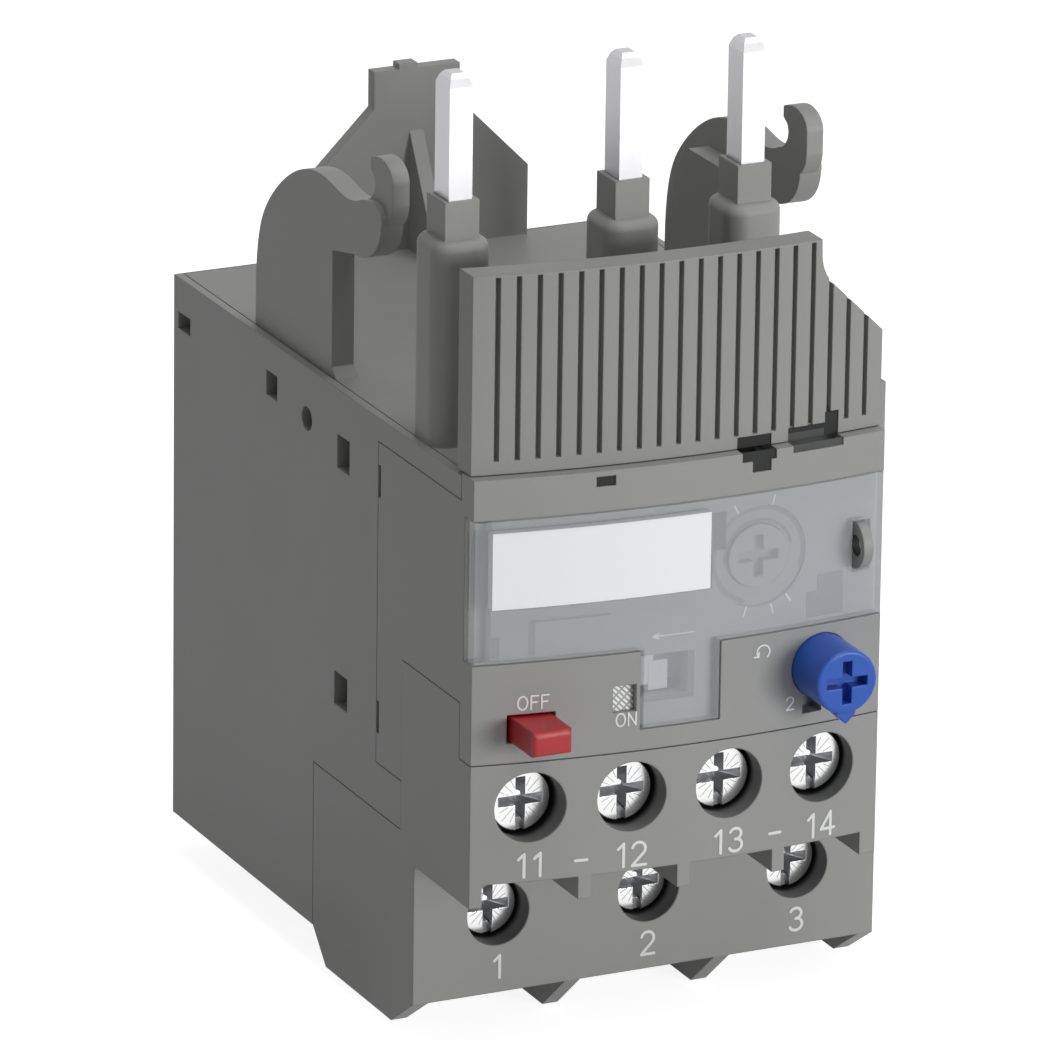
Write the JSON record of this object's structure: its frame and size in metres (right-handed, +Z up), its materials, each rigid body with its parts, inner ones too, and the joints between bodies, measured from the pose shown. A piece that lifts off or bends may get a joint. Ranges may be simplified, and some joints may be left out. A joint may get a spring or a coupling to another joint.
{
  "type": "thermal overload relay",
  "caption": "Grey plug-in thermal overload relay with contact stabs and hooks on top, a current dial under a clear flap, stop and reset buttons and screw terminals.",
  "frame": {"origin": "middle of the lower rear edge: x at mid-width, y on the rear face, z on the underside of the housing", "axes": "+Z up to the contactor, -Y out of the operating front, +X to the right seen from the front"},
  "size_m": [0.045, 0.0708, 0.0882],
  "materials": {
    "housing": "fine moulded texture, grey thermoplastic",
    "carrier": "fine moulded texture, grey thermoplastic",
    "terminal_block": "fine moulded texture, grey thermoplastic",
    "panel": "fine moulded texture, grey thermoplastic",
    "grip_cover": "grooved, fine moulded texture, grey thermoplastic",
    "clear": "clear polycarbonate, glossy",
    "white_plastic": "satin white plastic",
    "red_plastic": "semi-gloss red plastic",
    "blue_plastic": "semi-gloss blue plastic",
    "inner_plastic": "dark grey plastic",
    "dial": "satin white plastic",
    "spring_steel": "bright spring steel",
    "silvered_copper": "silver-plated copper, bright",
    "bimetal": "rolled bimetal strip",
    "heater": "woven glass sleeve with heater ribbon",
    "brass": "stamped brass",
    "nickel_steel": "nickel-plated steel",
    "contact_bronze": "spring bronze with silver rivet"
  },
  "bodies": {
    "housing": {"aux_bar_1": "brass", "aux_bar_2": "brass", "aux_bar_3": "brass", "aux_bar_4": "brass", "contact_stab_1": "silvered_copper", "contact_stab_2": "silvered_copper", "contact_stab_3": "silvered_copper", "front_cover": "panel", "main_bar_1": "brass", "main_bar_2": "brass", "main_bar_3": "brass", "main_housing": "housing", "mechanism_frame": "inner_plastic", "pivot_pin": "nickel_steel", "reset_spring": "spring_steel", "ribbed_cover": "grip_cover", "stop_spring": "spring_steel", "terminal_housing": "terminal_block", "test_spring": "spring_steel", "top_carrier": "carrier"},
    "aux_clamp_1": {"aux_clamp_1": "nickel_steel"},
    "aux_clamp_2": {"aux_clamp_2": "nickel_steel"},
    "aux_clamp_3": {"aux_clamp_3": "nickel_steel"},
    "aux_clamp_4": {"aux_clamp_4": "nickel_steel"},
    "aux_screw_1": {"aux_screw_1": "nickel_steel"},
    "aux_screw_2": {"aux_screw_2": "nickel_steel"},
    "aux_screw_3": {"aux_screw_3": "nickel_steel"},
    "aux_screw_4": {"aux_screw_4": "nickel_steel"},
    "bimetal_1": {"bimetal_1": "bimetal", "heater_1": "heater"},
    "bimetal_2": {"bimetal_2": "bimetal", "heater_2": "heater"},
    "bimetal_3": {"bimetal_3": "bimetal", "heater_3": "heater"},
    "clear_cover": {"clear_cover": "clear", "label_plate": "white_plastic"},
    "compensation_strip": {"compensation_strip": "spring_steel"},
    "contact_carrier": {"contact_carrier": "inner_plastic"},
    "main_clamp_1": {"main_clamp_1": "nickel_steel"},
    "main_clamp_2": {"main_clamp_2": "nickel_steel"},
    "main_clamp_3": {"main_clamp_3": "nickel_steel"},
    "main_screw_1": {"main_screw_1": "nickel_steel"},
    "main_screw_2": {"main_screw_2": "nickel_steel"},
    "main_screw_3": {"main_screw_3": "nickel_steel"},
    "nc_contact_blade": {"nc_contact_blade": "contact_bronze"},
    "no_contact_blade": {"no_contact_blade": "contact_bronze"},
    "reset_knob": {"reset_knob": "blue_plastic"},
    "reset_plunger": {"reset_plunger": "inner_plastic"},
    "setting_dial": {"setting_dial": "dial"},
    "setting_lever": {"setting_lever": "inner_plastic"},
    "status_flag": {"status_flag": "inner_plastic"},
    "stop_button": {"stop_button": "red_plastic"},
    "test_slider": {"test_slider": "white_plastic"},
    "trip_lever": {"trip_lever": "inner_plastic"},
    "trip_slide": {"trip_slide": "white_plastic"}
  },
  "joints": [
    {"name": "clear_cover_hinge", "type": "hinge", "parent": "housing", "child": "clear_cover", "pos_m": [-0.0216, -0.063, 0.04165], "axis": [0, 0, -1], "range_deg": [0, 110]},
    {"name": "stop_press", "type": "slide", "parent": "housing", "child": "stop_button", "axis": [0, 1, 0], "range_m": [0, 0.002], "stiffness_N_per_m": 300, "springref_m": -0.002, "deforming": ["stop_spring"]},
    {"name": "test_slide", "type": "slide", "parent": "housing", "child": "test_slider", "axis": [-1, 0, 0], "range_m": [0, 0.0018], "stiffness_N_per_m": 200, "springref_m": -0.002, "deforming": ["test_spring"]},
    {"name": "reset_press", "type": "slide", "parent": "housing", "child": "reset_plunger", "axis": [0, 1, 0], "range_m": [0, 0.0025], "stiffness_N_per_m": 300, "springref_m": -0.002, "deforming": ["reset_spring"]},
    {"name": "reset_turn", "type": "hinge", "parent": "reset_plunger", "child": "reset_knob", "pos_m": [0.01, -0.065, 0.0314], "axis": [0, 1, 0], "range_deg": [0, 50]},
    {"name": "dial_turn", "type": "hinge", "parent": "housing", "child": "setting_dial", "pos_m": [0.0042, -0.058, 0.04187], "axis": [0, 1, 0], "range_deg": [0, 270]},
    {"name": "setting_lever_tilt", "type": "hinge", "parent": "housing", "child": "setting_lever", "pos_m": [-0.009, -0.0557, 0.0452], "axis": [0, 1, 0], "range_deg": [-4.2, 0]},
    {"name": "trip_slide_move", "type": "slide", "parent": "housing", "child": "trip_slide", "axis": [1, 0, 0], "range_m": [0, 0.0012], "stiffness_N_per_m": 100, "springref_m": -0.001},
    {"name": "bimetal_1_bend", "type": "hinge", "parent": "housing", "child": "bimetal_1", "pos_m": [-0.01435, -0.02, 0.012], "axis": [0, 1, 0], "range_deg": [0, 2.6]},
    {"name": "bimetal_2_bend", "type": "hinge", "parent": "housing", "child": "bimetal_2", "pos_m": [0.00025, -0.02, 0.012], "axis": [0, 1, 0], "range_deg": [0, 2.6]},
    {"name": "bimetal_3_bend", "type": "hinge", "parent": "housing", "child": "bimetal_3", "pos_m": [0.01485, -0.02, 0.012], "axis": [0, 1, 0], "range_deg": [0, 2.6]},
    {"name": "compensation_tilt", "type": "hinge", "parent": "housing", "child": "compensation_strip", "pos_m": [0.0187, -0.034, 0.039], "axis": [0, 0, 1], "range_deg": [-5.6, 0]},
    {"name": "carrier_move", "type": "slide", "parent": "housing", "child": "contact_carrier", "axis": [-1, 0, 0], "range_m": [0, 0.00125]},
    {"name": "trip_lever_tilt", "type": "hinge", "parent": "housing", "child": "trip_lever", "pos_m": [-0.002, -0.0536, 0.038], "axis": [0, 1, 0], "range_deg": [-21, 0]},
    {"name": "flag_drop", "type": "slide", "parent": "housing", "child": "status_flag", "axis": [0, 0, -1], "range_m": [0, 0.0024]},
    {"name": "nc_blade_bend", "type": "hinge", "parent": "housing", "child": "nc_contact_blade", "pos_m": [-0.01325, -0.0563, 0.0293], "axis": [0, 1, 0], "range_deg": [-9.2, 0]},
    {"name": "no_blade_bend", "type": "hinge", "parent": "housing", "child": "no_contact_blade", "pos_m": [0.00635, -0.0563, 0.0293], "axis": [0, 1, 0], "range_deg": [-9.2, 0]},
    {"name": "main_clamp_1_draw", "type": "slide", "parent": "housing", "child": "main_clamp_1", "axis": [0, -1, 0], "range_m": [0, 0.0034]},
    {"name": "main_screw_1_turn", "type": "hinge", "parent": "housing", "child": "main_screw_1", "pos_m": [-0.01435, -0.048, 0.0074], "axis": [0, 1, 0], "range_deg": [0, 1800]},
    {"name": "main_clamp_2_draw", "type": "slide", "parent": "housing", "child": "main_clamp_2", "axis": [0, -1, 0], "range_m": [0, 0.0034]},
    {"name": "main_screw_2_turn", "type": "hinge", "parent": "housing", "child": "main_screw_2", "pos_m": [0.00025, -0.048, 0.0074], "axis": [0, 1, 0], "range_deg": [0, 1800]},
    {"name": "main_clamp_3_draw", "type": "slide", "parent": "housing", "child": "main_clamp_3", "axis": [0, -1, 0], "range_m": [0, 0.0034]},
    {"name": "main_screw_3_turn", "type": "hinge", "parent": "housing", "child": "main_screw_3", "pos_m": [0.01485, -0.048, 0.0074], "axis": [0, 1, 0], "range_deg": [0, 1800]},
    {"name": "aux_clamp_1_draw", "type": "slide", "parent": "housing", "child": "aux_clamp_1", "axis": [0, -1, 0], "range_m": [0, 0.00295]},
    {"name": "aux_screw_1_turn", "type": "hinge", "parent": "housing", "child": "aux_screw_1", "pos_m": [-0.0172, -0.06, 0.0219], "axis": [0, 1, 0], "range_deg": [0, 2160]},
    {"name": "aux_clamp_2_draw", "type": "slide", "parent": "housing", "child": "aux_clamp_2", "axis": [0, -1, 0], "range_m": [0, 0.00295]},
    {"name": "aux_screw_2_turn", "type": "hinge", "parent": "housing", "child": "aux_screw_2", "pos_m": [-0.00803, -0.06, 0.0219], "axis": [0, 1, 0], "range_deg": [0, 2160]},
    {"name": "aux_clamp_3_draw", "type": "slide", "parent": "housing", "child": "aux_clamp_3", "axis": [0, -1, 0], "range_m": [0, 0.00295]},
    {"name": "aux_screw_3_turn", "type": "hinge", "parent": "housing", "child": "aux_screw_3", "pos_m": [0.00113, -0.06, 0.0219], "axis": [0, 1, 0], "range_deg": [0, 2160]},
    {"name": "aux_clamp_4_draw", "type": "slide", "parent": "housing", "child": "aux_clamp_4", "axis": [0, -1, 0], "range_m": [0, 0.00295]},
    {"name": "aux_screw_4_turn", "type": "hinge", "parent": "housing", "child": "aux_screw_4", "pos_m": [0.0103, -0.06, 0.0219], "axis": [0, 1, 0], "range_deg": [0, 2160]}
  ],
  "couplings": [
    {"joint": "setting_lever_tilt", "follows": "dial_turn", "ratio": -0.0145},
    {"joint": "bimetal_1_bend", "follows": "trip_slide_move", "rad_per_m": 37.04},
    {"joint": "bimetal_2_bend", "follows": "trip_slide_move", "rad_per_m": 37.04},
    {"joint": "bimetal_3_bend", "follows": "trip_slide_move", "rad_per_m": 37.04},
    {"joint": "compensation_tilt", "follows": "trip_slide_move", "rad_per_m": -76.9},
    {"joint": "carrier_move", "follows": "trip_slide_move", "ratio": 1},
    {"joint": "trip_lever_tilt", "follows": "trip_slide_move", "rad_per_m": -294.2},
    {"joint": "flag_drop", "follows": "trip_slide_move", "ratio": 1.958},
    {"joint": "nc_blade_bend", "follows": "trip_slide_move", "rad_per_m": -130},
    {"joint": "no_blade_bend", "follows": "trip_slide_move", "rad_per_m": -130},
    {"joint": "main_screw_1_turn", "follows": "main_clamp_1_draw", "rad_per_m": 8976},
    {"joint": "main_screw_2_turn", "follows": "main_clamp_2_draw", "rad_per_m": 8976},
    {"joint": "main_screw_3_turn", "follows": "main_clamp_3_draw", "rad_per_m": 8976},
    {"joint": "aux_screw_1_turn", "follows": "aux_clamp_1_draw", "rad_per_m": 12566},
    {"joint": "aux_screw_2_turn", "follows": "aux_clamp_2_draw", "rad_per_m": 12566},
    {"joint": "aux_screw_3_turn", "follows": "aux_clamp_3_draw", "rad_per_m": 12566},
    {"joint": "aux_screw_4_turn", "follows": "aux_clamp_4_draw", "rad_per_m": 12566}
  ]
}
